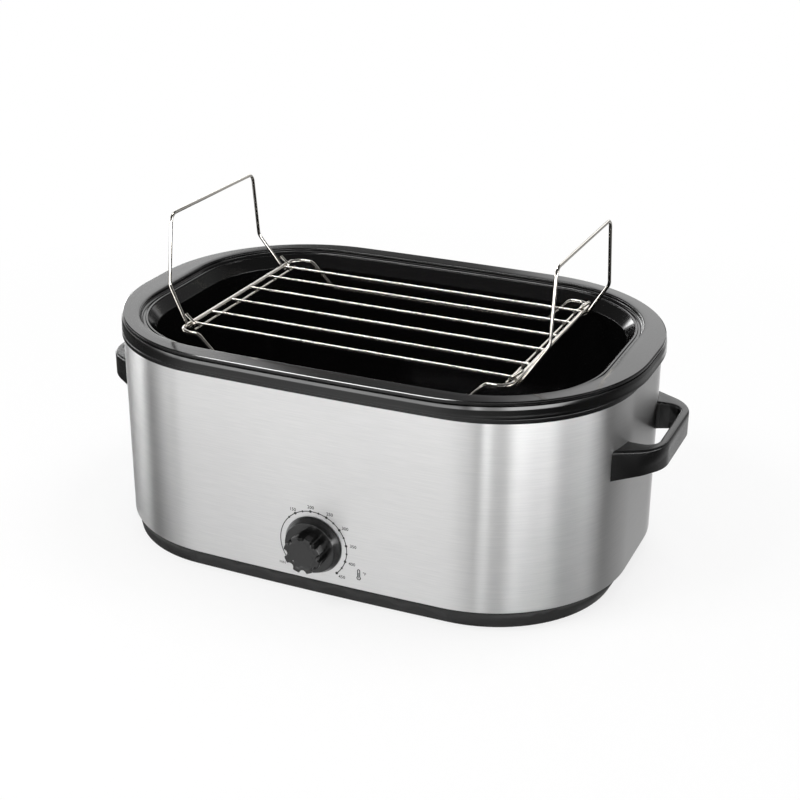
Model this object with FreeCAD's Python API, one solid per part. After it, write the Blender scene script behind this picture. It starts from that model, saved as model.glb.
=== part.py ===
import FreeCAD, Part
import math
import os

from FreeCAD import Vector

# Electric roaster oven. Millimetres, +Z up, the front with the dial faces -Y.
# z = 0 is the table; x = 0 is the middle of the front.

# Housing, outside sizes
wrap_half_length = 267.5
wrap_half_depth = 177.3
wrap_corner = 141.2
side_bow = 5000.0
wrap_sheet = 0.6
wrap_hem = 4.0
wrap_height = 197.1

# Base tray and feet
foot_height = 2.5
foot_radius = 13.0
foot_stem_radius = 4.0
foot_inset = 66.0
base_height = 17.1
base_inset_length = 11.0
base_inset_depth = 5.9
base_inset_corner = 17.4
base_ledge_inset = 2.0
base_sheet = 0.9
base_collar = 11.0
vent_length = 40.0
vent_width = 4.0
vent_pitch = 12.0
vent_rows = 7
vent_spread = 95.0

# Top rim of the housing
rim_lip = 1.3
rim_lip_height = 5.2
rim_deck = 1.5
rim_post_inset = 8.0
rim_post = 2.0

# Cooking pan
band_overhang_length = 4.2
band_overhang_depth = 3.3
band_corner_growth = 19.8
band_round = 3.6
flange_width_length = 25.8
flange_width_depth = 17.9
flange_corner_growth = 41.0
skirt_height = 15.7
flange_sheet = 1.2
pan_sheet = 0.9
seat_drop = 5.5
seat_width = 5.0
bead_width = 2.5
bead_height = 1.2
shoulder_width = 8.5
shoulder_drop = 11.0
pan_room = 14.7
pan_draft = 9.0
pan_floor_round = 14.0

# Heating well, heater and lagging
well_inset_length = 9.9
well_inset_depth = 10.7
well_inset_corner = 10.0
well_sheet = 0.6
well_floor_gap = 10.0
well_floor_round = 12.0
well_flange = 8.0
heater_height = 30.0
heater_lift = 22.0
heater_thickness = 2.5
clip_length = 12.0
clip_height = 3.0
clips_per_side = 3
clip_spacing = 110.0
lagging_thickness = 9.5
lagging_margin = 5.0
shield_margin = 8.0
shield_sheet = 0.8
shield_height = 21.0
tie_half_length = 130.0
tie_half_depth = 70.0
tie_radius = 2.0
spacer_radius = 5.0
screw_head_radius = 4.0
screw_head_height = 1.8

# Handles
handle_reach = 34.5
handle_half_span = 80.5
grip_half_length = 57.2
grip_thickness = 9.0
handle_top = 164.8
handle_root_height = 30.1
grip_height = 24.0
handle_corner = 40.0
handle_root_bend = 0.5
window_half_width = 50.0
window_corner = 14.0
window_root_bend = 7.0
handle_edge_round = 2.5
handle_screw_radius = 2.0
handle_screw_inset = 15.5
handle_screw_bite = 8.0
backing_sheet = 1.5
backing_width = 20.0
backing_inset = 3.0

# Dial, thermostat and cord entry
dial_height = 58.2
knob_radius = 29.7
knob_face_radius = 26.0
knob_skirt_depth = 8.0
knob_depth = 24.2
knob_wall = 2.0
knob_edge_round = 0.8
knob_lift = 0.8
grip_radius = 19.2
grip_root = 15.4
grip_lobes = 8
grip_flute_radius = 4.0
grip_first_flute = 2.3
shaft_radius = 3.0
shaft_flat = 1.0
shaft_depth_in_knob = 14.0
bush_radius = 5.0
thermostat_width = 34.0
thermostat_height = 30.0
thermostat_depth = 15.0
plate_sheet = 1.2
plate_width = 52.0
plate_screw_spacing = 42.0
plate_screw_bite = 3.0
gland_x = 90.0
gland_height = 44.0
gland_bore = 4.0
gland_relief = 5.0
gland_throat = 3.5
gland_radius = 7.0
gland_flange_radius = 10.0
gland_flange = 4.0
gland_inside = 8.0
block_length = 30.0
block_depth = 12.0
block_height = 11.0
block_setback = 14.0

# Lifting rack
rack_half_length = 172.4
rack_side_gap = 1.2
rack_height = 229.4
rack_leg = 26.0
rack_corner = 14.0
rack_flat = 8.0
rack_slope_run = 26.0
rack_bend = 8.0
frame_wire = 2.25
grate_wire = 1.4
cross_wire = 1.6
grate_inner_count = 4
grate_pitch = 40.4
grate_edge_inset = 26.5
cross_inset = 8.8
cross_overhang = 11.3

# Bails of the rack; the leg's angle is from straight up, in degrees
bail_wire = 1.7
bail_eye_inset = 22.2
bail_leg_angle = 32.2
bail_leg = 43.5
bail_knee_half_width = 92.0
bail_upper = 70.0
bail_top_half_width = 82.0
bail_corner = 9.0
bail_knee_bend = 12.0
eye_angle = 197.0
eye_tail = 10.0

# Clearances
sheet_gap = 0.2
fit_gap = 0.3
running_gap = 0.05
screw_gap = 0.1
eye_gap = 0.25


class Outline:
    """A rounded rectangle about the origin whose long sides bow outwards."""

    def __init__(self, half_length, half_depth, corner, bow):
        self.half_length = half_length
        self.half_depth = half_depth
        self.corner = corner
        self.bow = bow

    def grown(self, by):
        return Outline(self.half_length + by, self.half_depth + by, self.corner + by, self.bow + by)

    def corner_centre(self):
        x = self.half_length - self.corner
        reach = self.bow - self.corner
        return x, math.sqrt(reach * reach - x * x) - (self.bow - self.half_depth)

    def end_x(self, y):
        """x of the right-hand end at the depth y."""
        x, start = self.corner_centre()
        if abs(y) <= start:
            return self.half_length
        return x + math.sqrt(self.corner ** 2 - (abs(y) - start) ** 2)

    def side_y(self, x):
        """Depth of the back side at x, within its bowed stretch."""
        return math.sqrt(self.bow ** 2 - x * x) - (self.bow - self.half_depth)

    def wire(self, z):
        x, y = self.corner_centre()
        turn = math.atan2(y + self.bow - self.half_depth, x)
        tangent_x = x + self.corner * math.cos(turn)
        tangent_y = y + self.corner * math.sin(turn)
        middle_x = x + self.corner * math.cos(turn / 2)
        middle_y = y + self.corner * math.sin(turn / 2)

        def arc(*points):
            return Part.Arc(*[Vector(px, py, z) for px, py in points]).toShape()

        end = self.half_length
        edges = [
            arc((-tangent_x, -tangent_y), (0, -self.half_depth), (tangent_x, -tangent_y)),
            arc((tangent_x, -tangent_y), (middle_x, -middle_y), (end, -y)),
            Part.makeLine(Vector(end, -y, z), Vector(end, y, z)),
            arc((end, y), (middle_x, middle_y), (tangent_x, tangent_y)),
            arc((tangent_x, tangent_y), (0, self.half_depth), (-tangent_x, tangent_y)),
            arc((-tangent_x, tangent_y), (-middle_x, middle_y), (-end, y)),
            Part.makeLine(Vector(-end, y, z), Vector(-end, -y, z)),
            arc((-end, -y), (-middle_x, -middle_y), (-tangent_x, -tangent_y)),
        ]
        return Part.Wire(edges)

    def prism(self, low, high):
        return Part.Face(self.wire(low)).extrude(Vector(0, 0, high - low))


def ring(outer, inner, low, high):
    return outer.prism(low, high).cut(inner.prism(low, high))


def tapered(lower, low, upper, high):
    return Part.makeLoft([lower.wire(low), upper.wire(high)], True, True)


def box(low, high):
    size = Vector(*high) - Vector(*low)
    return Part.makeBox(size.x, size.y, size.z, Vector(*low))


def rod(radius, start, end):
    way = Vector(*end) - Vector(*start)
    return Part.makeCylinder(radius, way.Length, Vector(*start), way)


def along_y(radius, x, z, start, end):
    return rod(radius, (x, start, z), (x, end, z))


def upright(radius, place, low, high):
    return rod(radius, (*place, low), (*place, high))


def fused(shapes):
    whole = shapes[0]
    if len(shapes) > 1:
        whole = whole.fuse(shapes[1:])
    return whole.removeSplitter()


def mirrored_x(shape):
    return shape.mirror(Vector(0, 0, 0), Vector(1, 0, 0))


def rounded_edges(shape, radius, chosen):
    return shape.makeFillet(radius, [edge for edge in shape.Edges if chosen(edge)])


def bent_path(points, bends):
    """Straight runs through the points, with a tangent arc at each inner one."""
    points = [Vector(*point) for point in points]
    edges = []
    start = points[0]
    for before, here, after, bend in zip(points, points[1:], points[2:], bends):
        back = (before - here).normalize()
        ahead = (after - here).normalize()
        half = back.getAngle(ahead) / 2
        reach = bend / math.tan(half)
        first = here + back * reach
        last = here + ahead * reach
        towards = (back + ahead).normalize()
        middle = here + towards * (bend / math.sin(half) - bend)
        edges.append(Part.makeLine(start, first))
        edges.append(Part.Arc(first, middle, last).toShape())
        start = last
    edges.append(Part.makeLine(start, points[-1]))
    return Part.Wire(edges)


def wire_rod(points, bends, radius):
    path = bent_path(points, bends)
    way = Vector(*points[1]) - Vector(*points[0])
    section = Part.Wire(Part.makeCircle(radius, Vector(*points[0]), way))
    return path.makePipeShell([section], True, False)


# Outlines and levels that several pieces share
wrap_outline = Outline(wrap_half_length, wrap_half_depth, wrap_corner, side_bow)
base_outline = Outline(
    wrap_half_length - base_inset_length,
    wrap_half_depth - base_inset_depth,
    wrap_corner - base_inset_corner,
    side_bow,
)
ledge_outline = wrap_outline.grown(-base_ledge_inset)
collar_outline = wrap_outline.grown(-wrap_sheet - sheet_gap)
band_outline = Outline(
    wrap_half_length + band_overhang_length,
    wrap_half_depth + band_overhang_depth,
    wrap_corner + band_corner_growth,
    side_bow,
)
skirt_outline = band_outline.grown(band_round)
mouth_outline = Outline(
    band_outline.half_length - flange_width_length,
    band_outline.half_depth - flange_width_depth,
    band_outline.corner - flange_corner_growth,
    side_bow,
)
well_outline = Outline(
    mouth_outline.half_length - well_inset_length,
    mouth_outline.half_depth - well_inset_depth,
    mouth_outline.corner - well_inset_corner,
    side_bow,
)
bowl_outline = mouth_outline.grown(-seat_width - bead_width - shoulder_width)

ledge_z = foot_height + base_height
wrap_top = ledge_z + wrap_height
deck_top = wrap_top + rim_deck
rim_low = deck_top - rim_lip_height
flange_low = deck_top + skirt_height - flange_sheet + sheet_gap
pan_top = flange_low + flange_sheet
pan_depth = wrap_height - pan_room
floor_top = pan_top - pan_depth
well_floor = floor_top - pan_sheet - well_floor_gap
well_low = well_floor - well_sheet
heater_low = well_low + heater_lift
heater_outer = well_sheet + fit_gap + heater_thickness
plate_top = foot_height + base_sheet
front_face = -wrap_half_depth
front_inside = front_face + wrap_sheet
knob_back = front_face - knob_lift
knob_front = knob_back - knob_depth
shaft_front = knob_back - shaft_depth_in_knob
rear_face = wrap_outline.side_y(gland_x)
gland_back = rear_face + gland_flange
handle_face = wrap_outline.grown(screw_gap)
grip_outer = wrap_half_length + handle_reach
rack_seat = floor_top + rack_leg + frame_wire + fit_gap
rack_half_depth = bowl_outline.half_depth - pan_draft - pan_floor_round - rack_side_gap
grate_edge = rack_half_depth - grate_edge_inset
bail_half_width = rack_half_depth - bail_eye_inset

feet = {
    "foot_front_left": (-1, -1),
    "foot_front_right": (1, -1),
    "foot_rear_left": (-1, 1),
    "foot_rear_right": (1, 1),
}


def foot_place(side_x, side_y):
    return (
        side_x * (base_outline.half_length - foot_inset),
        side_y * (base_outline.half_depth - foot_inset),
    )


def plate_screw_places():
    return [-plate_screw_spacing / 2, plate_screw_spacing / 2]


def tie_places():
    return [(sx * tie_half_length, sy * tie_half_depth) for sx in (-1, 1) for sy in (-1, 1)]


def handle_screw_y():
    return handle_half_span - handle_screw_inset


def handle_screw_places():
    """y and z of the screws of the right-hand handle."""
    z = handle_top - handle_root_height / 2
    return [(-handle_screw_y(), z), (handle_screw_y(), z)]


def outward_at(y):
    """Unit vector that leaves the right-hand wall at the depth y."""
    x, start = wrap_outline.corner_centre()
    if abs(y) <= start:
        return Vector(1, 0, 0)
    return Vector(wrap_outline.end_x(y) - x, math.copysign(abs(y) - start, y), 0).normalize()


def handle_screws():
    shapes = []
    stack = wrap_sheet + 2 * sheet_gap + backing_sheet
    screw_length = stack + handle_screw_bite
    for y, z in handle_screw_places():
        out = outward_at(y)
        wall = Vector(wrap_outline.end_x(y), y, z)
        back = wall - out * stack
        head = Part.makeCylinder(screw_head_radius, screw_head_height, back, out * -1)
        shank = Part.makeCylinder(handle_screw_radius, screw_length, back, out)
        shapes.append(head.fuse(shank))
    return shapes


def handle_screw_holes():
    holes = []
    behind = wrap_sheet + sheet_gap + backing_sheet + 1
    length = behind + handle_screw_bite + fit_gap
    for y, z in handle_screw_places():
        out = outward_at(y)
        wall = Vector(wrap_outline.end_x(y), y, z)
        back = wall - out * behind
        holes.append(Part.makeCylinder(handle_screw_radius + screw_gap, length, back, out))
    return holes


def outer_wrap():
    tube = ring(wrap_outline, wrap_outline.grown(-wrap_sheet), ledge_z, wrap_top)
    hem = ring(
        wrap_outline.grown(-wrap_sheet / 2),
        wrap_outline.grown(-wrap_hem),
        ledge_z,
        ledge_z + wrap_sheet,
    )
    shape = tube.fuse(hem)
    holes = [
        along_y(bush_radius + screw_gap, 0, dial_height, front_face - wrap_hem, front_face + wrap_hem),
        along_y(gland_radius + screw_gap, gland_x, gland_height, rear_face - wrap_hem, rear_face + wrap_hem),
    ]
    for x in plate_screw_places():
        holes.append(
            along_y(tie_radius + screw_gap, x, dial_height, front_face - wrap_hem, front_face + wrap_hem)
        )
    for hole in handle_screw_holes():
        holes += [hole, mirrored_x(hole)]
    return shape.cut(holes).removeSplitter()


def base_tray():
    skin = tapered(base_outline, foot_height, ledge_outline, ledge_z)
    hollow = tapered(
        base_outline.grown(-base_sheet), plate_top, ledge_outline.grown(-base_sheet), ledge_z
    )
    collar = ring(
        collar_outline.grown(-wrap_hem),
        collar_outline.grown(-wrap_hem - base_sheet),
        ledge_z - base_sheet,
        ledge_z + base_collar,
    )
    ledge = ring(
        ledge_outline.grown(-base_sheet / 2),
        collar_outline.grown(-wrap_hem - base_sheet),
        ledge_z - base_sheet,
        ledge_z,
    )
    shape = fused([skin.cut(hollow), ledge, collar])
    through = (0, plate_top + 1)
    holes = [upright(foot_stem_radius + screw_gap, foot_place(*side), *through) for side in feet.values()]
    holes += [upright(tie_radius + screw_gap, place, *through) for place in tie_places()]
    for side in (-1, 1):
        for row in range(vent_rows):
            y = (row - (vent_rows - 1) / 2) * vent_pitch
            x = side * vent_spread
            run = vent_length / 2 - vent_width / 2
            half = vent_width / 2
            slot = box((x - run, y - half, 0), (x + run, y + half, plate_top + 1))
            ends = [upright(half, (x + end, y), *through) for end in (-run, run)]
            holes.append(slot.fuse(ends))
    return shape.cut(holes)


def foot(side_x, side_y):
    place = foot_place(side_x, side_y)
    pad = upright(foot_radius, place, 0, foot_height)
    pad = rounded_edges(pad, foot_height / 3, lambda edge: edge.BoundBox.ZMax < foot_height / 2)
    stem = upright(foot_stem_radius, place, foot_height / 2, plate_top + foot_height)
    return fused([pad, stem])


def top_rim():
    lip = ring(
        wrap_outline.grown(sheet_gap + rim_lip), wrap_outline.grown(sheet_gap), rim_low, deck_top
    )
    deck = ring(wrap_outline.grown(sheet_gap + rim_lip / 2), well_outline, wrap_top, deck_top)
    post_outline = band_outline.grown(-rim_post_inset)
    post = ring(post_outline, post_outline.grown(-rim_post), wrap_top + rim_deck / 2, flange_low)
    return fused([lip, deck, post])


def heating_well():
    outer = well_outline.grown(well_sheet).prism(well_low, wrap_top)
    outer = rounded_edges(
        outer, well_floor_round + well_sheet, lambda edge: edge.BoundBox.ZMax < well_low + 0.01
    )
    inner = well_outline.prism(well_floor, wrap_top + 1)
    inner = rounded_edges(
        inner, well_floor_round, lambda edge: edge.BoundBox.ZMax < well_floor + 0.01
    )
    flange_inside = well_outline.grown(well_sheet / 2)
    flange = ring(well_outline.grown(well_flange), flange_inside, wrap_top - well_sheet, wrap_top)
    return fused([outer.cut(inner), flange])


def heater_band():
    return ring(
        well_outline.grown(heater_outer),
        well_outline.grown(well_sheet + fit_gap),
        heater_low,
        heater_low + heater_height,
    )


def heater_clips():
    sleeve = well_outline.grown(heater_outer), well_outline.grown(well_sheet)
    rows = [
        ring(*sleeve, heater_low - clip_height, heater_low),
        ring(*sleeve, heater_low + heater_height, heater_low + heater_height + clip_height),
    ]
    shapes = []
    for side in (-1, 1):
        for place in range(clips_per_side):
            x = (place - (clips_per_side - 1) / 2) * clip_spacing
            low_y, high_y = sorted((0, side * wrap_half_depth))
            window = box((x - clip_length / 2, low_y, 0), (x + clip_length / 2, high_y, wrap_top))
            shapes += [row.common(window) for row in rows]
    return shapes


def thermostat_window(grow):
    half_width = plate_width / 2 + grow
    half_height = thermostat_height / 2 + grow
    return box(
        (-half_width, front_face, dial_height - half_height),
        (half_width, -well_outline.half_depth, dial_height + half_height),
    )


def lagging():
    inner = well_outline.grown(heater_outer + fit_gap)
    top = wrap_top - well_sheet - lagging_margin
    sleeve = ring(inner.grown(lagging_thickness), inner, well_low + lagging_margin, top)
    terminal_window = box(
        (gland_x - block_length, 0, 0),
        (gland_x + block_length, wrap_half_depth, gland_height + gland_flange_radius + lagging_margin),
    )
    return sleeve.cut([thermostat_window(lagging_margin), terminal_window])


def heat_shield():
    plate = well_outline.grown(-shield_margin).prism(shield_height, shield_height + shield_sheet)
    return plate.cut([upright(tie_radius + screw_gap, place, 0, well_low) for place in tie_places()])


def spacers(low, high):
    return [
        upright(spacer_radius, place, low, high).cut(upright(tie_radius + screw_gap, place, low, high))
        for place in tie_places()
    ]


def tie_screws():
    shapes = []
    for place in tie_places():
        head = upright(screw_head_radius, place, foot_height - screw_head_height, foot_height)
        shapes.append(head.fuse(upright(tie_radius, place, foot_height, well_low - fit_gap)))
    return shapes


def handle():
    """Right-hand handle: two arms that lean in to a grip, round a window for the fingers."""
    low = handle_top - handle_root_height
    root_x = wrap_outline.end_x(handle_half_span)
    inside = root_x - handle_half_span / 2
    outer_points = [
        (inside, -handle_half_span, low),
        (root_x, -handle_half_span, low),
        (grip_outer, -grip_half_length, low),
        (grip_outer, grip_half_length, low),
        (root_x, handle_half_span, low),
        (inside, handle_half_span, low),
    ]
    outer = bent_path(outer_points, [handle_root_bend, handle_corner, handle_corner, handle_root_bend])
    closing = Part.makeLine(Vector(*outer_points[-1]), Vector(*outer_points[0]))
    block = Part.Face(Part.Wire(outer.Edges + [closing])).extrude(Vector(0, 0, handle_root_height))

    window_x = wrap_outline.end_x(handle_screw_y()) - wrap_sheet
    grip_inner = grip_outer - grip_thickness
    window_points = [
        (window_x, 0, low),
        (window_x, -window_half_width, low),
        (grip_inner, -window_half_width, low),
        (grip_inner, window_half_width, low),
        (window_x, window_half_width, low),
        (window_x, 0, low),
    ]
    window_bends = [window_root_bend, window_corner, window_corner, window_root_bend]
    window = Part.Face(bent_path(window_points, window_bends))
    shape = block.cut(window.extrude(Vector(0, 0, handle_root_height)))
    shape = shape.cut(handle_face.prism(low - 1, handle_top + 1))
    rise = handle_root_height - grip_height
    beyond = 2 * handle_half_span
    wedge_points = [
        Vector(root_x, -beyond, low - 0.01),
        Vector(grip_outer + 1, -beyond, low - 0.01),
        Vector(grip_outer + 1, -beyond, low + rise),
        Vector(grip_inner, -beyond, low + rise),
    ]
    wedge = Part.Face(Part.makePolygon(wedge_points + wedge_points[:1])).extrude(Vector(0, 2 * beyond, 0))
    shape = rounded_edges(
        shape.cut(wedge),
        handle_edge_round,
        lambda edge: edge.BoundBox.ZMin > handle_top - 0.01 and off_the_wall(edge),
    )
    return shape.cut(handle_screw_holes())


def off_the_wall(edge):
    middle = edge.valueAt((edge.FirstParameter + edge.LastParameter) / 2)
    return middle.x > wrap_outline.end_x(min(abs(middle.y), handle_half_span)) + 0.5


def handle_backing():
    low = handle_top - handle_root_height + backing_inset
    sleeve = ring(
        wrap_outline.grown(-wrap_sheet - sheet_gap),
        wrap_outline.grown(-wrap_sheet - sheet_gap - backing_sheet),
        low,
        handle_top - backing_inset,
    )
    shapes = []
    for y, z in handle_screw_places():
        window = box((0, y - backing_width / 2, low), (wrap_half_length, y + backing_width / 2, handle_top))
        shapes.append(sleeve.common(window).cut(handle_screw_holes()))
    return shapes


def thermostat_body():
    back = front_inside + plate_sheet
    case = box(
        (-thermostat_width / 2, back, dial_height - thermostat_height / 2),
        (thermostat_width / 2, back + thermostat_depth, dial_height + thermostat_height / 2),
    )
    bush = along_y(bush_radius, 0, dial_height, front_face, back + 1)
    bore = along_y(shaft_radius + running_gap, 0, dial_height, front_face - 1, back + thermostat_depth / 2)
    return fused([case, bush]).cut(bore)


def thermostat_plate():
    plate = box(
        (-plate_width / 2, front_inside + sheet_gap, dial_height - thermostat_height / 2),
        (plate_width / 2, front_inside + plate_sheet, dial_height + thermostat_height / 2),
    )
    holes = [along_y(bush_radius + screw_gap, 0, dial_height, front_face, 0)]
    holes += [along_y(tie_radius + screw_gap, x, dial_height, front_face, 0) for x in plate_screw_places()]
    return plate.cut(holes)


def thermostat_screws():
    shapes = []
    end = front_inside + plate_sheet + plate_screw_bite
    for x in plate_screw_places():
        head = along_y(screw_head_radius, x, dial_height, front_face - screw_head_height, front_face)
        shapes.append(head.fuse(along_y(tie_radius, x, dial_height, front_face, end)))
    return shapes


def flat_shaft(radius, start_y, end_y):
    shaft = along_y(radius, 0, dial_height, start_y, end_y)
    flat_z = dial_height + radius - shaft_flat
    return shaft.cut(box((-radius, start_y, flat_z), (radius, end_y, dial_height + radius + 1)))


def knob_shaft():
    inner_end = front_inside + plate_sheet + thermostat_depth / 2 - fit_gap
    round_part = along_y(shaft_radius, 0, dial_height, knob_back, inner_end)
    return fused([flat_shaft(shaft_radius, shaft_front, knob_back), round_part])


def knob():
    axis = Vector(0, -1, 0)
    back = Vector(0, knob_back, dial_height)
    step = knob_back - knob_skirt_depth
    skirt = Part.makeCone(knob_radius, knob_face_radius, knob_skirt_depth, back, axis)
    skirt = rounded_edges(skirt, knob_edge_round, lambda edge: edge.BoundBox.YMax < step + 0.01)
    hollow = Part.makeCone(
        knob_radius - knob_wall, knob_face_radius - knob_wall, knob_skirt_depth - knob_wall, back, axis
    )
    grip = along_y(grip_radius, 0, dial_height, knob_front, step + knob_wall / 2)
    grip = rounded_edges(grip, knob_edge_round, lambda edge: edge.BoundBox.YMax < knob_front + 0.01)
    flutes = []
    for lobe in range(grip_lobes):
        turn = math.radians(grip_first_flute + lobe * 360 / grip_lobes)
        reach = grip_root + grip_flute_radius
        x = reach * math.cos(turn)
        z = dial_height + reach * math.sin(turn)
        flutes.append(along_y(grip_flute_radius, x, z, knob_front - 1, step))
    boss = along_y(shaft_radius + knob_wall, 0, dial_height, step, knob_back)
    shape = fused([skirt.cut(hollow), grip.cut(flutes), boss])
    return shape.cut(flat_shaft(shaft_radius + running_gap, shaft_front - fit_gap, knob_back))


def cord_gland():
    inner = rear_face - wrap_sheet - gland_inside
    body = along_y(gland_radius, gland_x, gland_height, inner, gland_back)
    flange = along_y(gland_flange_radius, gland_x, gland_height, rear_face + sheet_gap, gland_back)
    flange = rounded_edges(flange, gland_flange / 3, lambda edge: edge.BoundBox.YMin > gland_back - 0.01)
    throat = along_y(gland_bore, gland_x, gland_height, inner, gland_back)
    relief = along_y(gland_relief, gland_x, gland_height, inner, gland_back - gland_throat)
    return fused([body, flange]).cut([throat, relief])


def terminal_block():
    back = rear_face - wrap_sheet - gland_inside - block_setback
    low = (gland_x - block_length / 2, back - block_depth, plate_top)
    high = (gland_x + block_length / 2, back, plate_top + block_height)
    return box(low, high)


def pan_bowl(grow, top_z, floor_z, floor_round):
    """The tapered bowl, with a rounded edge where the wall meets the floor."""
    top = bowl_outline.grown(grow)
    low = top.grown(-pan_draft)
    steps = 5
    wires = []
    for step in range(steps + 1):
        turn = math.pi / 2 * step / steps
        inset = floor_round * (1 - math.sin(turn))
        wires.append(low.grown(-inset).wire(floor_z + floor_round * (1 - math.cos(turn))))
    wires.append(top.wire(top_z))
    return Part.makeLoft(wires, True, True)


def cooking_pan():
    skirt_low = flange_low + flange_sheet - skirt_height
    flange = skirt_outline.prism(skirt_low, pan_top)
    flange = rounded_edges(flange, band_round, lambda edge: edge.BoundBox.ZMin > pan_top - 0.01)
    hollow = skirt_outline.grown(-flange_sheet).prism(skirt_low, flange_low)
    hollow = rounded_edges(
        hollow, band_round - flange_sheet, lambda edge: edge.BoundBox.ZMin > flange_low - 0.01
    )
    flange = flange.cut(hollow)
    seat_z = pan_top - seat_drop
    shoulder_z = seat_z - shoulder_drop
    seat = mouth_outline.grown(pan_sheet).prism(seat_z - pan_sheet, pan_top)
    shoulder_top = mouth_outline.grown(-seat_width - bead_width)
    shoulder = tapered(
        bowl_outline.grown(pan_sheet),
        shoulder_z - pan_sheet,
        shoulder_top.grown(pan_sheet),
        seat_z - pan_sheet,
    )
    bowl = pan_bowl(pan_sheet, shoulder_z, floor_top - pan_sheet, pan_floor_round + pan_sheet)
    body = fused([flange, seat, shoulder, bowl])
    cavity = [
        ring(mouth_outline, mouth_outline.grown(-seat_width), seat_z, pan_top + 1),
        mouth_outline.grown(-seat_width).prism(seat_z + bead_height, pan_top + 1),
        shoulder_top.prism(seat_z, seat_z + bead_height + 0.1),
        tapered(bowl_outline, shoulder_z, shoulder_top, seat_z),
        pan_bowl(0, shoulder_z, floor_top, pan_floor_round),
    ]
    return body.cut(fused(cavity))


def rack_half(side):
    low = rack_height - rack_leg
    slope_start = rack_half_length - rack_corner - rack_flat
    slope_end = slope_start - rack_slope_run
    points = [
        (0, -rack_half_depth, low),
        (side * slope_end, -rack_half_depth, low),
        (side * slope_start, -rack_half_depth, rack_height),
        (side * rack_half_length, -rack_half_depth, rack_height),
        (side * rack_half_length, rack_half_depth, rack_height),
        (side * slope_start, rack_half_depth, rack_height),
        (side * slope_end, rack_half_depth, low),
        (0, rack_half_depth, low),
    ]
    bends = [rack_bend, rack_bend, rack_corner, rack_corner, rack_bend, rack_bend]
    return wire_rod(points, bends, frame_wire)


def rack_frame():
    return fused([rack_half(-1), rack_half(1)])


def grate_places():
    inner = [(place - (grate_inner_count - 1) / 2) * grate_pitch for place in range(grate_inner_count)]
    return [-grate_edge, *inner, grate_edge]


def grate_wires():
    reach = rack_half_length - frame_wire
    return [rod(grate_wire, (-reach, y, rack_height), (reach, y, rack_height)) for y in grate_places()]


def rack_cross_wires():
    reach = grate_edge + cross_overhang
    z = rack_height - grate_wire - cross_wire
    x = rack_half_length - cross_inset
    return [rod(cross_wire, (side * x, -reach, z), (side * x, reach, z)) for side in (-1, 1)]


def leaning(angle, length):
    """A step in the XZ plane that leans outwards from straight up."""
    turn = math.radians(angle)
    return Vector(length * math.sin(turn), 0, length * math.cos(turn))


def bail():
    """Right-hand bail: two legs with eyes round the end wire, and a grip bar."""
    eye_radius = frame_wire + eye_gap + bail_wire
    root = leaning(bail_leg_angle + 90, eye_radius)
    knee = root + leaning(bail_leg_angle, bail_leg)
    top = knee + Vector(0, 0, bail_upper)
    points = [
        (root.x, -bail_half_width, root.z),
        (knee.x, -bail_knee_half_width, knee.z),
        (top.x, -bail_top_half_width, top.z),
        (top.x, bail_top_half_width, top.z),
        (knee.x, bail_knee_half_width, knee.z),
        (root.x, bail_half_width, root.z),
    ]
    bow = wire_rod(points, [bail_knee_bend, bail_corner, bail_corner, bail_knee_bend], bail_wire)
    shapes = [bow]
    for side in (-1, 1):
        at = Vector(0, side * bail_half_width, 0)
        section = Part.Face(Part.Wire(Part.makeCircle(bail_wire, root + at, leaning(bail_leg_angle, 1))))
        eye = section.revolve(at, Vector(0, 1, 0), eye_angle)
        tail_start = at + leaning(bail_leg_angle + 90 + eye_angle, eye_radius)
        tail_end = tail_start + leaning(bail_leg_angle + 180 + eye_angle, eye_tail)
        shapes += [eye, rod(bail_wire, tail_start, tail_end), Part.makeSphere(bail_wire, root + at)]
    whole = fused(shapes)
    whole.translate(Vector(rack_half_length, 0, rack_height))
    return whole


def housing_pieces():
    pieces = {
        "outer_wrap": outer_wrap(),
        "base_tray": base_tray(),
        "top_rim": top_rim(),
        "heating_well": heating_well(),
        "heater_band": heater_band(),
        "heater_clips": heater_clips(),
        "lagging": lagging(),
        "heat_shield": heat_shield(),
        "lower_spacers": spacers(plate_top, shield_height),
        "upper_spacers": spacers(shield_height + shield_sheet, well_low),
        "tie_screws": tie_screws(),
        "thermostat_body": thermostat_body(),
        "thermostat_plate": thermostat_plate(),
        "thermostat_screws": thermostat_screws(),
        "cord_gland": cord_gland(),
        "terminal_block": terminal_block(),
    }
    for name, side in feet.items():
        pieces[name] = foot(*side)
    right_hand = {
        "handle": [handle()],
        "handle_screws": handle_screws(),
        "handle_backing": handle_backing(),
    }
    for name, shapes in right_hand.items():
        pieces[name + "_right"] = shapes
        pieces[name + "_left"] = [mirrored_x(shape) for shape in shapes]
    return pieces


def moving_pieces():
    right_bail = bail()
    left_bail = right_bail.rotated(Vector(0, 0, 0), Vector(0, 0, 1), 180)
    return {
        "knob": knob(),
        "knob_shaft": knob_shaft(),
        "cooking_pan": cooking_pan(),
        "rack_frame": rack_frame(),
        "grate_wires": grate_wires(),
        "rack_cross_wires": rack_cross_wires(),
        "bail_right": right_bail,
        "bail_left": left_bail,
    }


def main():
    os.makedirs("parts", exist_ok=True)
    centring = Vector(0, -(knob_front + gland_back) / 2, 0)
    for name, shape in {**housing_pieces(), **moving_pieces()}.items():
        if isinstance(shape, list):
            shape = Part.makeCompound(shape)
        shape = shape.copy()
        shape.translate(centring)
        shape.exportStep(os.path.join("parts", name + ".step"))
        solids = len(shape.Solids)
        print(f"{name}: {solids} solid(s), {shape.Volume / 1000:.1f} cm3, valid {shape.isValid()}")
    print(f"rack drop to its seat: {rack_height - rack_seat:.2f} mm; shift in y: {centring.y:.2f} mm")


main()
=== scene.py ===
import math

import bmesh
import bpy
from mathutils import Matrix, Vector


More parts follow.
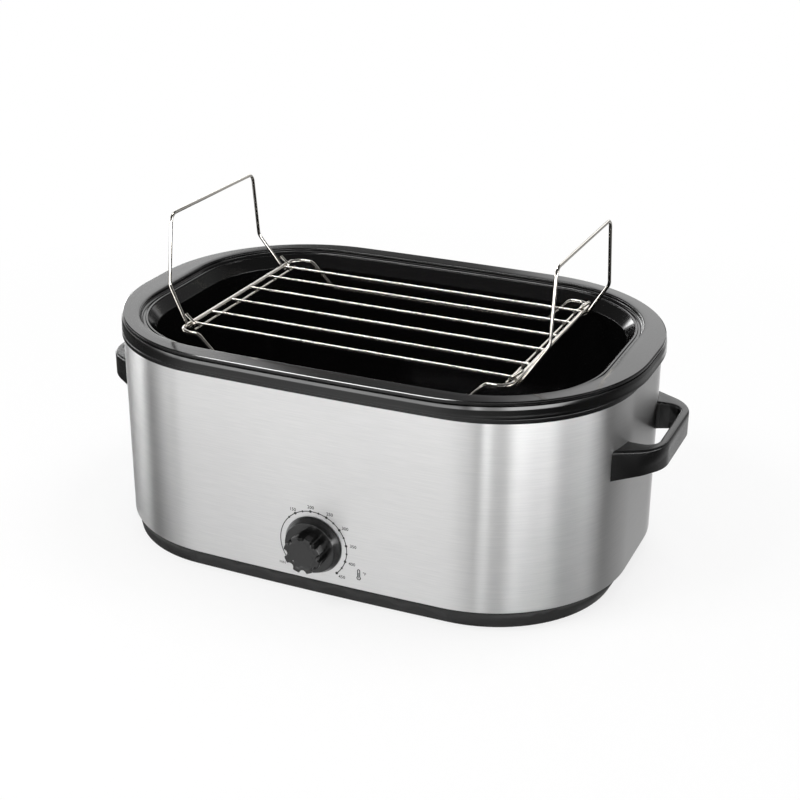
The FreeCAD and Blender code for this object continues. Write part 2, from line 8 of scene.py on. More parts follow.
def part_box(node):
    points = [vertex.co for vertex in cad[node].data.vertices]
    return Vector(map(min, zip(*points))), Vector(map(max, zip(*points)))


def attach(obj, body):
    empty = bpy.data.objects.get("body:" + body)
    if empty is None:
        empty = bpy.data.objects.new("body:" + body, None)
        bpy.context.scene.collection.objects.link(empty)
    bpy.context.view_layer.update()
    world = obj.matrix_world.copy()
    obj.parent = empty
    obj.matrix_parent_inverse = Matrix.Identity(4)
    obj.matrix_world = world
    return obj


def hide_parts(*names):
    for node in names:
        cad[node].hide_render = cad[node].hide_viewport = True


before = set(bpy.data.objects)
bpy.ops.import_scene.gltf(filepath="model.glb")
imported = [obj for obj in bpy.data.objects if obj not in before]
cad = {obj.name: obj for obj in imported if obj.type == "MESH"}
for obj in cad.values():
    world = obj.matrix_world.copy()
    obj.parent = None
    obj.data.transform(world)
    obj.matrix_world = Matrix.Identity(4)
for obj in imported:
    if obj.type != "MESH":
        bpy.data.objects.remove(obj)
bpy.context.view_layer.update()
scene = bpy.context.scene
mm = 0.001


# Sizes given in millimetres, as metres
def inMetres(**sizes):
    return {name: size * mm for name, size in sizes.items()}


# A shader value that takes part in plain arithmetic
class Signal:
    def __init__(self, look, socket):
        self.look = look
        self.socket = socket

    def __add__(self, other): return self.look.maths("ADD", self, other)
    def __radd__(self, other): return self.look.maths("ADD", other, self)
    def __sub__(self, other): return self.look.maths("SUBTRACT", self, other)
    def __rsub__(self, other): return self.look.maths("SUBTRACT", other, self)
    def __mul__(self, other): return self.look.maths("MULTIPLY", self, other)
    def __rmul__(self, other): return self.look.maths("MULTIPLY", other, self)
    def __truediv__(self, other): return self.look.maths("DIVIDE", self, other)
    def __rtruediv__(self, other): return self.look.maths("DIVIDE", other, self)
    def __pow__(self, other): return self.look.maths("POWER", self, other)


class Look:
    def __init__(self, tree):
        self.tree = tree
        tree.nodes.clear()

    # Any node: its settings first, then the values or links of its sockets
    def node(self, kind, settings=None, sockets=None):
        made = self.tree.nodes.new(kind if "Node" in kind else "ShaderNode" + kind)
        for name, value in (settings or {}).items():
            if name == "stops":
                self.setStops(made.color_ramp, value)
            else:
                setattr(made, name, value)
        for name, value in (sockets or {}).items():
            self.feed(made.inputs[name], value)
        return made

    def feed(self, socket, value):
        if isinstance(value, list):
            for part in reversed(value):
                self.feed(socket, part)
        elif isinstance(value, Signal):
            self.tree.links.new(value.socket, socket)
        else:
            socket.default_value = value

    def setStops(self, ramp, stops):
        while len(ramp.elements) < len(stops):
            ramp.elements.new(1.0)
        for element, (place, colour) in zip(ramp.elements, stops):
            element.position = place
            element.color = colour

    def out(self, kind, name, settings=None, sockets=None):
        return Signal(self, self.node(kind, settings, sockets).outputs[name])

    def maths(self, operation, *values):
        return self.out("Math", "Value", {"operation": operation}, dict(enumerate(values)))

    def scaled(self, vector, factors):
        sockets = {0: vector, 1: factors}
        return self.out("VectorMath", "Vector", {"operation": "MULTIPLY"}, sockets)

    def vector(self, x=0.0, y=0.0, z=0.0):
        return self.out("CombineXYZ", "Vector", sockets={"X": x, "Y": y, "Z": z})

    def axes(self, vector):
        split = self.node("SeparateXYZ", sockets={"Vector": vector})
        return [Signal(self, split.outputs[axis]) for axis in "XYZ"]

    def noise(self, vector, scale, detail, roughness=0.5):
        sockets = {"Vector": vector, "Scale": scale, "Detail": detail, "Roughness": roughness}
        return self.out("TexNoise", "Fac", sockets=sockets)

    # Carries a value from one range to another and stops at its ends
    def spread(self, signal, low, high, fromLow=0.3, fromHigh=0.7):
        sockets = {"Value": signal, 1: fromLow, 2: fromHigh, 3: low, 4: high}
        return self.out("MapRange", "Result", sockets=sockets)

    # Mixes two colours, which are the Mix node's inputs 6 and 7
    def tint(self, factor, first, second):
        made = self.node("Mix", {"data_type": "RGBA"}, {0: factor, 6: first, 7: second})
        return Signal(self, made.outputs[2])

    def bump(self, height, strength, distance):
        sockets = {"Height": height, "Strength": strength, "Distance": distance}
        return self.out("Bump", "Normal", sockets=sockets)


class Finish(Look):
    def __init__(self, name):
        self.material = bpy.data.materials.new(name)
        self.material.use_nodes = True
        super().__init__(self.material.node_tree)
        self.place = self.out("TexCoord", "Object")

    def close(self, **sockets):
        named = {key.replace("_", " "): value for key, value in sockets.items()}
        surface = self.out("BsdfPrincipled", "BSDF", sockets=named)
        self.node("OutputMaterial", sockets={"Surface": surface})
        return self.material


def grey(level, warm=0.0):
    return (level * (1 + warm), level, level * (1 - warm), 1.0)


# The grooves run round the wall, so they change fast with height alone
def brushedSteel(name, grooves=900.0, tone=0.64, roughness=0.31):
    look = Finish(name)
    streaks = look.noise(look.scaled(look.place, (30.0, 30.0, grooves)), 1.0, 4.0, 0.6)
    broad = look.noise(look.scaled(look.place, (6.0, 6.0, grooves / 6)), 1.0, 2.0)
    patches = look.noise(look.place, 7.0, 2.0)
    grain = streaks * 0.85 + broad * 0.15
    shade = look.spread(grain, 0.0, 1.0, 0.36, 0.64)
    rough = look.spread(grain, roughness - 0.03, roughness + 0.03) + look.spread(patches, -0.01, 0.02)
    return look.close(
        Base_Color=look.tint(shade, grey(tone * 0.95), grey(tone * 1.03, 0.004)),
        Metallic=1.0,
        Roughness=rough,
        Anisotropic=1.0,
        Anisotropic_Rotation=0.25,
        Normal=look.bump(streaks, 0.035, 0.0002),
    )


# Clouds mix two colours, pores raise the surface, and one of them varies the roughness. Each
# noise is given by its scale and detail, and the bump by its strength and distance
def clouded(name, colours, roughness, clouds, pores, bump, roughPores=False, **others):
    look = Finish(name)
    broad, fine = look.noise(look.place, *clouds), look.noise(look.place, *pores)
    return look.close(
        Base_Color=look.tint(broad, *colours),
        Roughness=look.spread(fine if roughPores else broad, *roughness),
        Normal=look.bump(fine, *bump),
        **others,
    )


def plainMetal(name, colour, roughness, mottle=0.05, metallic=1.0):
    dark = tuple(channel * (1 - mottle * 2) for channel in colour[:3]) + (1.0,)
    return clouded(
        name, (dark, colour), (roughness - mottle, roughness + mottle),
        clouds=(60.0, 4.0), pores=(900.0, 2.0), bump=(0.03, 0.0001), Metallic=metallic,
    )


# Fired enamel: a dark ground with a faint haze and the ripple that firing leaves
def enamel(name, tone, roughness, ripple, haze=0.2):
    look = Finish(name)
    orangePeel = look.noise(look.place, 95.0, 2.0, 0.4)
    clouds = look.noise(look.place, 12.0, 3.0)
    fine = look.noise(look.place, 700.0, 2.0)
    colour = look.tint(clouds * 0.7 + fine * 0.3, grey(tone * 0.8), grey(tone * 1.3))
    return look.close(
        Base_Color=colour,
        Roughness=look.spread(clouds, roughness * (1 - haze), roughness * (1 + haze)),
        Normal=look.bump(orangePeel, ripple, 0.0006),
    )


# Powder coat: matte, with a fine pebbled skin
def powderCoat(name, tone, roughness):
    return clouded(
        name, (grey(tone * 0.9), grey(tone * 1.1)), (roughness - 0.05, roughness + 0.05), clouds=(25.0, 2.0),
        pores=(1100.0, 2.0, 0.6), bump=(0.25, 0.0002), roughPores=True, Specular_IOR_Level=0.35,
    )


def moulding(name, tone, roughness, grain=0.12, warm=0.0, specular=0.5):
    return clouded(
        name, (grey(tone * 0.88, warm), grey(tone * 1.12, warm)), (roughness - 0.04, roughness + 0.05),
        clouds=(18.0, 3.0), pores=(1600.0, 2.0), bump=(grain, 0.00015), Specular_IOR_Level=specular,
    )


def wool(name):
    look = Finish(name)
    strands = look.noise(look.scaled(look.place, (90.0, 90.0, 420.0)), 1.0, 6.0, 0.7)
    return look.close(
        Base_Color=look.tint(strands, (0.62, 0.56, 0.36, 1.0), (0.86, 0.83, 0.7, 1.0)),
        Roughness=0.95,
        Normal=look.bump(strands, 0.9, 0.002),
    )


def chromeWire(name):
    return clouded(
        name, ((0.56, 0.53, 0.48, 1.0), (0.70, 0.68, 0.64, 1.0)), (0.1, 0.2), clouds=(30.0, 2.0),
        pores=(420.0, 3.0), bump=(0.06, 0.0001), roughPores=True, Metallic=1.0,
    )


def ink(name, colour):
    look = Finish(name)
    worn = look.noise(look.place, 700.0, 2.0)
    pale = tuple(channel * 1.3 + 0.004 for channel in colour[:3]) + (1.0,)
    return look.close(Base_Color=look.tint(worn, colour, pale), Roughness=look.spread(worn, 0.4, 0.55))


finishes = {
    "steel": brushedSteel("brushed steel"),
    "base": powderCoat("matte base paint", 0.02, 0.55),
    "trim": enamel("gloss black trim", 0.005, 0.22, 0.02),
    "pan": enamel("black enamel", 0.0035, 0.13, 0.035),
    "well": plainMetal("aluminised steel", grey(0.42), 0.38, metallic=0.45),
    "plated": plainMetal("zinc plate", (0.58, 0.58, 0.55, 1.0), 0.34),
    "heater": plainMetal("heater band", grey(0.28, 0.05), 0.5, 0.08),
    "wool": wool("glass wool"),
    "handle": moulding("black phenolic", 0.006, 0.26, 0.06, specular=0.45),
    "gland": moulding("black nylon", 0.02, 0.45),
    "insulator": moulding("ceramic block", 0.5, 0.7, 0.2, 0.08),
    "rubber": moulding("foot rubber", 0.022, 0.75, 0.3),
    "dial": moulding("dial plastic", 0.009, 0.2, 0.04, specular=0.55),
    "chrome": chromeWire("chromed wire"),
    "ink": ink("dial ink", grey(0.008)),
    "mark": ink("pointer paint", grey(0.62)),
}
print("finishes:", len(finishes))


def addObject(name, data):
    made = bpy.data.objects.new(name, data)
    scene.collection.objects.link(made)
    return made


# The plain mesh that a helper object comes to; the object goes
def finalMesh(holder):
    graph = bpy.context.evaluated_depsgraph_get()
    mesh = bpy.data.meshes.new_from_object(holder.evaluated_get(graph))
    bpy.data.objects.remove(holder)
    return mesh


def opened(*meshes):
    shape = bmesh.new()
    for mesh in meshes:
        shape.from_mesh(mesh)
    return shape


def written(shape, mesh):
    shape.to_mesh(mesh)
    shape.free()
    return mesh


def addPiece(name, mesh, finish, body, replaced=()):
    piece = addObject(name, mesh)
    mesh.name = name
    mesh.materials.clear()
    mesh.materials.append(finishes[finish])
    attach(piece, body)
    if replaced:
        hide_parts(*replaced)


def smoothed(mesh, degrees=35.0):
    mesh.shade_smooth()
    mesh.set_sharp_from_angle(angle=math.radians(degrees))
    return mesh


def meshOf(name, points, edges=(), faces=(), **values):
    mesh = bpy.data.meshes.new(name)
    mesh.from_pydata([Vector(point) for point in points], list(edges), list(faces))
    for label, numbers in values.items():
        mesh.attributes.new(label, "FLOAT", "POINT").data.foreach_set("value", numbers)
    return mesh


# A run of points as edges; each point may have the radius of its bend
def pathMesh(name, points, bends=None, closed=False):
    edges = [(place, place + 1) for place in range(len(points) - 1)]
    if closed:
        edges.append((len(points) - 1, 0))
    return meshOf(name, points, edges, bend=bends or [0.0] * len(points))


# A profile of outward and upward places, as the sweeping trees take it
def profileMesh(name, profile, closed=False):
    return pathMesh(name, [(out, -up, 0.0) for out, up in profile], closed=closed)


# A copy of a CAD node with its loose triangles joined, so that it shades smoothly;
# sharp edges further out than reach may be softened
def mergedCopy(node, degrees=32.0, edge=0.0, reach=0.0):
    flat, steep = math.radians(1.0), math.radians(40)
    shape = opened(cad[node].data)
    bmesh.ops.remove_doubles(shape, verts=shape.verts, dist=0.002 * mm)
    if edge:
        bmesh.ops.dissolve_limit(shape, angle_limit=flat, verts=shape.verts, edges=shape.edges)
        sharp = [line for line in shape.edges if line.is_manifold and line.calc_face_angle() > steep]
        sharp = [line for line in sharp if all(abs(vert.co.x) > reach for vert in line.verts)]
        bmesh.ops.bevel(shape, geom=sharp, offset=edge, segments=2, affect="EDGES", clamp_overlap=True)
    return smoothed(written(shape, bpy.data.meshes.new(node + "Smooth")), degrees)


# A tree of geometry nodes whose named inputs are the sizes of what it makes
class Form(Look):
    kinds = {int: "NodeSocketInt", float: "NodeSocketFloat"}

    def __init__(self, name, sizes):
        super().__init__(bpy.data.node_groups.new(name, "GeometryNodeTree"))
        self.keys = {}
        self.addInput("Geometry", "NodeSocketGeometry")
        for label, value in sizes.items():
            self.addInput(label, self.kinds[type(value)]).default_value = value
        self.addInput("Material", "NodeSocketMaterial")
        self.tree.interface.new_socket("Geometry", in_out="OUTPUT", socket_type="NodeSocketGeometry")
        self.entry = self.tree.nodes.new("NodeGroupInput")
        self.base = self.size("Geometry")

    def addInput(self, label, kind):
        socket = self.tree.interface.new_socket(label, in_out="INPUT", socket_type=kind)
        self.keys[label] = socket.identifier
        return socket

    def size(self, label):
        return Signal(self, self.entry.outputs[label])

    # A geometry node's first output
    def shape(self, kind, settings=None, **sockets):
        named = {key.replace("_", " "): value for key, value in sockets.items()}
        return Signal(self, self.node("GeometryNode" + kind, settings, named).outputs[0])

    # A round wire along a curve
    def tube(self, curve):
        section = self.shape("CurvePrimitiveCircle", Resolution=self.size("Sides"), Radius=self.size("Wire"))
        return self.shape("CurveToMesh", Curve=curve, Profile_Curve=section, Fill_Caps=True)

    def moved(self, geometry, place, turn=(0.0, 0.0, 0.0)):
        return self.shape("Transform", Geometry=geometry, Translation=place, Rotation=turn)

    def close(self, geometry):
        real = self.shape("RealizeInstances", Geometry=geometry)
        dressed = self.shape("SetMaterial", Geometry=real, Material=self.size("Material"))
        self.feed(self.tree.nodes.new("NodeGroupOutput").inputs[0], dressed)
        return self

    # The plain mesh that the tree makes of a base mesh and its sizes
    def made(self, name, base, finish, **sizes):
        holder = addObject(name, base)
        modifier = holder.modifiers.new(name, "NODES")
        modifier.node_group = self.tree
        modifier[self.keys["Material"]] = finishes[finish]
        for label, value in sizes.items():
            modifier[self.keys[label.replace("_", " ")]] = value
        return smoothed(finalMesh(holder))


# A round wire bent along the edges of its base mesh
def makeWireForm():
    form = Form("bentWire", {"Wire": 0.002, "Sides": 18, "Bend Steps": 9})
    path = form.shape("MeshToCurve", Mesh=form.base)
    bend = form.shape("InputNamedAttribute", Name="bend")
    rounded = form.shape(
        "FilletCurve", {"mode": "POLY"},
        Curve=path, Count=form.size("Bend Steps"), Radius=bend, Limit_Radius=True,
    )
    return form.close(form.tube(rounded))


# The base profile spun about the upright axis
def spun(form, steps):
    axle = 0.00001
    circle = form.shape("CurvePrimitiveCircle", Resolution=steps, Radius=axle)
    path = form.shape("SetCurveNormal", {"mode": "Z_UP"}, Curve=circle)
    section = form.shape("MeshToCurve", Mesh=form.base)
    swept = form.shape("CurveToMesh", Curve=path, Profile_Curve=section)
    return form.shape("MergeByDistance", Geometry=swept, Distance=axle * 3)


# One turned piece set down at the four corners of a rectangle
def makeFootForm():
    form = Form("turnedFeet", {"Spread X": 0.3, "Spread Y": 0.2, "Steps": 40})
    corners = form.shape(
        "MeshGrid", Size_X=form.size("Spread X"), Size_Y=form.size("Spread Y"), Vertices_X=2, Vertices_Y=2
    )
    foot = spun(form, form.size("Steps"))
    return form.close(form.shape("InstanceOnPoints", Points=corners, Instance=foot))


# A turned grip whose wall is drawn in by a ring of round flutes
def makeGripForm():
    grip = {"Rim": 0.0192, "Root": 0.0154, "Flute": 0.004, "Lobes": 8, "First Flute": 2.3, "Soft": 0.0009}
    form = Form("flutedGrip", grip | {"Steps": 256})
    place = form.shape("InputPosition")
    x, y, z = form.axes(place)
    pitch = 2 * math.pi / form.size("Lobes")
    angle = form.maths("ARCTAN2", y, x) - form.size("First Flute") * (math.pi / 180)
    away = form.maths("WRAP", angle, pitch * 0.5, pitch * -0.5)
    rim, flute = form.size("Rim"), form.size("Flute")
    reach = form.size("Root") + flute
    across = form.maths("ABSOLUTE", reach * form.maths("SINE", away))
    bite = form.maths("MAXIMUM", flute * flute - across * across, 0.0) ** 0.5
    steep = 5.0
    ridge = form.maths("MAXIMUM", across - flute, 0.0) * steep
    wall = reach * form.maths("COSINE", away) - bite + ridge
    radius = form.maths("SMOOTH_MIN", rim, wall, form.size("Soft"))
    share = radius / rim
    spunGrip = spun(form, form.size("Steps"))
    drawnIn = form.vector(x * share, y * share, z)
    return form.close(form.shape("SetPosition", Geometry=spunGrip, Position=drawnIn))


# Straight wires that lie along x, one through each point of the base
def makeRowForm():
    form = Form("wireRow", {"Reach": 0.17, "Wire": 0.0014, "Sides": 18})
    reach = form.size("Reach")
    line = form.shape("CurvePrimitiveLine", Start=form.vector(reach * -1), End=form.vector(reach))
    return form.close(form.shape("InstanceOnPoints", Points=form.base, Instance=form.tube(line)))


# Small beads of weld at the points of the base, each a little different
def makeBeadForm():
    form = Form("weldBeads", {"Bead": 0.0015, "Flatten": 0.7, "Vary": 0.18, "Seed": 7})
    bead = form.shape("MeshUVSphere", Segments=12, Rings=8, Radius=form.size("Bead"))
    limits = {2: 1.0 - form.size("Vary"), 3: 1.0 + form.size("Vary"), 8: form.size("Seed")}
    size = Signal(form, form.node("FunctionNodeRandomValue", {"data_type": "FLOAT"}, limits).outputs[1])
    scale = form.vector(size, size, size * form.size("Flatten"))
    return form.close(form.shape("InstanceOnPoints", Points=form.base, Instance=bead, Scale=scale))


# Flat dots at the points of the base, as wide as each point says, with a little thickness
def makeDotForm():
    form = Form("printedDots", {"Sides": 24, "Ink": 0.00003})
    width = form.shape("InputNamedAttribute", Name="bend")
    disc = form.shape("MeshCylinder", Vertices=form.size("Sides"), Radius=1.0, Depth=1.0)
    scale = form.vector(width, width, form.size("Ink"))
    upright = (math.pi / 2, 0.0, 0.0)
    return form.close(
        form.shape("InstanceOnPoints", Points=form.base, Instance=disc, Rotation=upright, Scale=scale)
    )


# A flat profile carried round the bowed outline: x is outwards, y is upwards
def makeWallForm():
    wall = {"Half Length": 0.26, "Half Depth": 0.17, "Corner": 0.14, "Bow": 5.0}
    form = Form("wallSweep", wall | {"Corner Steps": 30, "Bow Steps": 40})
    length, depth, corner, bow = (form.size(label) for label in ("Half Length", "Half Depth", "Corner", "Bow"))
    x = length - corner
    drop = bow - depth
    y = ((bow - corner) ** 2.0 - x ** 2.0) ** 0.5 - drop
    turn = form.maths("ARCTAN2", y + drop, x)

    def arc(radius, start, sweep, steps, place):
        sizes = {"Resolution": form.size(steps), "Radius": radius, "Start_Angle": start, "Sweep_Angle": sweep}
        return form.moved(form.shape("CurveArc", **sizes), place)

    half = [
        form.shape("CurvePrimitiveLine", Start=form.vector(length, y * -1), End=form.vector(length, y)),
        arc(corner, 0.0, turn, "Corner Steps", form.vector(x, y)),
        arc(bow, turn, math.pi - turn * 2, "Bow Steps", form.vector(0.0, drop * -1)),
        arc(corner, math.pi - turn, turn, "Corner Steps", form.vector(x * -1, y)),
    ]
    joined = form.shape("JoinGeometry", Geometry=half)
    turned = form.moved(joined, (0.0, 0.0, 0.0), (0.0, 0.0, math.pi))
    both = form.shape("JoinGeometry", Geometry=[joined, turned])
    loop = form.shape("MergeByDistance", Geometry=form.shape("CurveToMesh", Curve=both), Distance=0.000002)
    path = form.shape("SetCurveNormal", {"mode": "Z_UP"}, Curve=form.shape("MeshToCurve", Mesh=loop))
    section = form.shape("MeshToCurve", Mesh=form.base)
    return form.close(form.shape("CurveToMesh", Curve=path, Profile_Curve=section, Fill_Caps=False))


# Rounded rectangle about the housing's axis, with long sides that bow outwards
class Outline:
    sideSteps, cornerSteps, endSteps = 22, 26, 6

    def __init__(self, halfLength, halfDepth, corner, bow=5.0):
        self.sizes = (halfLength, halfDepth, corner, bow)

    def ring(self, grow, z):
        halfLength, halfDepth, corner, bow = (size + grow for size in self.sizes)
        x = halfLength - corner
        offset = bow - halfDepth
        y = math.sqrt((bow - corner) ** 2 - x * x) - offset
        turn = math.atan2(y + offset, x)
        half = math.pi
        arcs = [
            (x, y, corner, 0.0, turn, self.cornerSteps),
            (0.0, -offset, bow, turn, half - turn, self.sideSteps),
            (-x, y, corner, half - turn, half, self.cornerSteps),
            (-x, -y, corner, half, half + turn, self.cornerSteps),
            (0.0, offset, bow, half + turn, 2 * half - turn, self.sideSteps),
            (x, -y, corner, 2 * half - turn, 2 * half, self.cornerSteps),
        ]
        points = []
        for centreX, centreY, radius, start, end, steps in arcs:
            for step in range(steps):
                angle = start + (end - start) * step / steps
                points.append((centreX + radius * math.cos(angle), centreY + radius * math.sin(angle)))
            if end in (half, 2 * half):
                side = -1 if end == half else 1
                for step in range(self.endSteps):
                    points.append((side * halfLength, -side * y * (1 - 2 * step / self.endSteps)))
        return [Vector((px, py + middleY, z)) for px, py in points]

    def sideY(self, x):
        halfLength, halfDepth, corner, bow = self.sizes
        return math.sqrt(bow * bow - x * x) - (bow - halfDepth)


# Points of a profile with each inner corner rounded by its radius
def roundedProfile(points, radii, steps=5):
    kept = [Vector(points[0])]
    for before, here, after, radius in zip(points, points[1:], points[2:], radii):
        here = Vector(here)
        back = (Vector(before) - here).normalized()
        ahead = (Vector(after) - here).normalized()
        if radius <= 0:
            kept.append(here)
            continue
        halfAngle = back.angle(ahead) / 2
        reach = radius / math.tan(halfAngle)
        centre = here + (back + ahead).normalized() * (radius / math.sin(halfAngle))
        first = here + back * reach - centre
        last = here + ahead * reach - centre
        turn = math.atan2(first.x * last.y - first.y * last.x, first.dot(last))
        for step in range(steps + 1):
            kept.append(centre + Matrix.Rotation(turn * step / steps, 2) @ first)
    kept.append(Vector(points[-1]))
    return kept


def profileRings(outline, points, radii, steps=5):
    return [outline.ring(grow, z) for grow, z in roundedProfile(points, radii, steps)]


# Closes a mesh's seams and turns its faces outwards
def outward(mesh):
    shape = opened(mesh)
    bmesh.ops.remove_doubles(shape, verts=shape.verts, dist=0.0005 * mm)
    bmesh.ops.recalc_face_normals(shape, faces=shape.faces)
    return written(shape, mesh)


# A shell through rings of points, whose last ring joins the first
def lofted(name, rings, degrees=35.0):
    count = len(rings[0])
    faces = []
    for low in range(len(rings)):
        high = (low + 1) % len(rings)
        for place in range(count):
            after = (place + 1) % count
            faces.append((low * count + place, low * count + after, high * count + after, high * count + place))
    mesh = meshOf(name, [point for ring in rings for point in ring], faces=faces)
    mesh.validate()
    return smoothed(mesh, degrees)


wireForm = makeWireForm()
wallForm = makeWallForm()
footForm = makeFootForm()
gripForm = makeGripForm()
rowForm = makeRowForm()
beadForm = makeBeadForm()
dotForm = makeDotForm()
print("forms:", len(bpy.data.node_groups))


# Sizes shared by the shells, from the frame
wrapLow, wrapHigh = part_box("outer_wrap")
panLow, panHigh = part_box("cooking_pan")
rimLow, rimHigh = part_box("top_rim")
middleY = (wrapLow.y + wrapHigh.y) / 2
cornerRadii = {"wrap": 0.1412, "skirt": 0.1646, "mouth": 0.120, "well": 0.110}


def outlineOf(low, high, corner):
    return Outline((high.x - low.x) / 2, (high.y - low.y) / 2, corner)


wrapOutline = outlineOf(wrapLow, wrapHigh, cornerRadii["wrap"])
skirtOutline = outlineOf(panLow, panHigh, cornerRadii["skirt"])


# The housing's wall, with its hem turned in below
def makeWall():
    wall = inMetres(sheet=0.6, hem=4.0, lip=0.35)
    low, high = wrapLow.z, wrapHigh.z
    inside = low + wall["sheet"]
    points = [
        (-wall["hem"], inside), (-wall["hem"], low), (0.0, low), (0.0, high),
        (-wall["sheet"], high), (-wall["sheet"], inside), (-wall["hem"], inside),
    ]
    profile = roundedProfile(points, [0.0, wall["lip"] * 2, wall["lip"] / 2, 0.0, 0.0])[:-1]
    base = profileMesh("wallProfile", profile, closed=True)
    sizes = dict(zip(("Half_Length", "Half_Depth", "Corner", "Bow"), wrapOutline.sizes))
    mesh = wallForm.made("steelWall", base, "steel", **sizes)
    for vert in mesh.vertices:
        vert.co.y += middleY
    addPiece("steelWall", outward(mesh), "steel", "housing", ["outer_wrap"])


# The trim ring under the pan, and the post inside the pan's skirt
def makeTrim():
    trim = inMetres(
        lip=1.3, gap=0.2, deck=1.5, round=1.1, innerLength=236.0, innerDepth=152.0, post=2.0, postInset=11.6
    )
    outer = trim["gap"] + trim["lip"]
    deck, low = wrapHigh.z + trim["deck"], rimLow.z
    inner = Outline(trim["innerLength"], trim["innerDepth"], cornerRadii["well"])
    points = [(trim["gap"], wrapHigh.z), (trim["gap"], low), (outer, low), (outer, deck), (0.0, deck)]
    rings = profileRings(wrapOutline, points, [0.0, trim["round"] / 2, trim["round"]])
    rings += [inner.ring(0.0, deck), inner.ring(0.0, wrapHigh.z)]
    addPiece("trimRing", lofted("trimRing", rings), "trim", "housing", ["top_rim"])
    outside = -trim["postInset"]
    inside = outside - trim["post"]
    corners = [(outside, deck), (outside, rimHigh.z), (inside, rimHigh.z), (inside, deck)]
    post = lofted("trimPost", [skirtOutline.ring(grow, z) for grow, z in corners])
    addPiece("trimPost", post, "trim", "housing")


# One closed shell: skirt, flange, lid seat, wall and floor, then back on the outside
def makePan():
    pan = inMetres(
        sheet=0.9, flange=1.2, depth=182.4, draft=9.0, mouthLength=245.9, mouthDepth=162.7, overlap=8.0,
        middle=110.0, seatDrop=5.5, seat=5.0, bead=2.5, beadHeight=1.2, shoulder=8.5, shoulderDrop=11.0,
        soft=1.4, floorRound=14.0,
    )
    skirt = inMetres(
        height=15.7, foot=0.4, roll=1.5, bandInset=0.25, bend=4.6, bendEnd=1.1, bendInset=0.76, inside=5.0,
        wall=1.2, notch=3.3, notchDepth=2.0, notchLow=0.6, notchHigh=0.3, edgeInset=1.3, edge=0.6, facet=1.3,
        ease=1.5, innerBend=1.6, innerBendEnd=5.0, innerFoot=1.4,
    ) | {"facetDrop": 0.58}
    mouth = Outline(pan["mouthLength"], pan["mouthDepth"], cornerRadii["mouth"])
    top = panHigh.z
    seat, floor, foot = (top - drop for drop in (pan["seatDrop"], pan["depth"], skirt["height"]))
    bead, shoulder = seat + pan["beadHeight"], seat - pan["shoulderDrop"]
    sheet, overlap, flangeLow = pan["sheet"], pan["overlap"], top - pan["flange"]
    inset = pan["seat"] + pan["bead"]
    wallTop = inset + pan["shoulder"]
    wallFoot = -wallTop - pan["draft"]
    flat = wallFoot - pan["floorRound"] * 2
    edge, band, notch = -skirt["edgeInset"], -skirt["bandInset"], top - skirt["notch"]
    # Rolled foot, skirt with a soft shoulder, a notch, and the flange with its facet
    points = [
        (-pan["flange"] - skirt["foot"], foot),
        (0.0, foot),
        (0.0, foot + skirt["roll"]),
        (band, foot + skirt["roll"] + skirt["ease"]),
        (band, notch - skirt["bend"]),
        (band - skirt["bendInset"], notch - skirt["bendEnd"]),
        (edge - skirt["notchDepth"], notch - skirt["notchLow"]),
        (edge, notch + skirt["notchHigh"]),
        (edge, top - skirt["facet"] * skirt["facetDrop"]),
        (edge - skirt["facet"], top),
        (-overlap, top),
    ]
    radii = [radius * mm for radius in (0.6, 0.8, 0.8, 5.0, 0.4, 0.2, 1.0)] + [skirt["edge"]] * 2
    rings = profileRings(skirtOutline, points, radii, 7)
    # Step down to the lid seat, bead, shoulder and the deep wall
    points = [
        (overlap, top), (0.0, top), (0.0, seat), (-pan["seat"], seat), (-pan["seat"], bead),
        (-inset, bead), (-inset, seat), (-wallTop, shoulder), (wallFoot, floor), (flat, floor),
    ]
    radii = [pan["soft"], pan["soft"] * 1.8, 0.5 * mm, 0.6 * mm, 0.6 * mm, 0.5 * mm, 3.0 * mm, pan["floorRound"]]
    rings += profileRings(mouth, points, radii)
    innermost = len(rings)
    under = floor - sheet
    rings += [mouth.ring(-pan["middle"], floor), mouth.ring(-pan["middle"], under)]
    # The same wall from outside, one sheet away
    points = [
        (flat, under), (wallFoot + sheet, under), (-wallTop + sheet, shoulder - sheet),
        (-inset + sheet, seat - sheet), (sheet, seat - sheet), (sheet, flangeLow), (overlap, flangeLow),
    ]
    rings += profileRings(mouth, points, [pan["floorRound"] + sheet, 0.0, 0.0, 0.0, 0.0])
    points = [
        (-overlap, flangeLow),
        (-skirt["inside"], flangeLow),
        (-skirt["inside"], notch - skirt["innerBend"]),
        (band - skirt["wall"], notch - skirt["innerBendEnd"]),
        (band - skirt["wall"], foot + skirt["innerFoot"]),
    ]
    rings += profileRings(skirtOutline, points, [0.4 * mm, 0.6 * mm, 2.0 * mm])
    mesh = lofted("panShell", rings, degrees=40.0)
    # The two floors: each innermost ring is filled
    shape = opened(mesh)
    shape.verts.ensure_lookup_table()
    count = len(rings[0])
    upper, lower = (shape.verts[ring * count:(ring + 1) * count] for ring in (innermost, innermost + 1))
    ends = set(upper + lower)
    between = [face for face in shape.faces if ends.issuperset(face.verts)]
    bmesh.ops.delete(shape, geom=between, context="FACES")
    shape.faces.new(upper).smooth = True
    shape.faces.new(list(reversed(lower))).smooth = True
    addPiece("enamelPan", smoothed(written(shape, mesh), 40.0), "pan", "pan", ["cooking_pan"])


makeWall()
makeTrim()
makePan()
print("shells made")


# CAD nodes that keep their shape
smoothNodes = {
    "base_tray": ("base", "housing", "base_paint"),
    "cord_gland": ("gland", "housing", "moulding"),
    "heating_well": ("well", "housing", "well_steel"),
}
for node, (finish, body, slot) in smoothNodes.items():
    addPiece(node + "Smooth", mergedCopy(node), finish, body, [node])

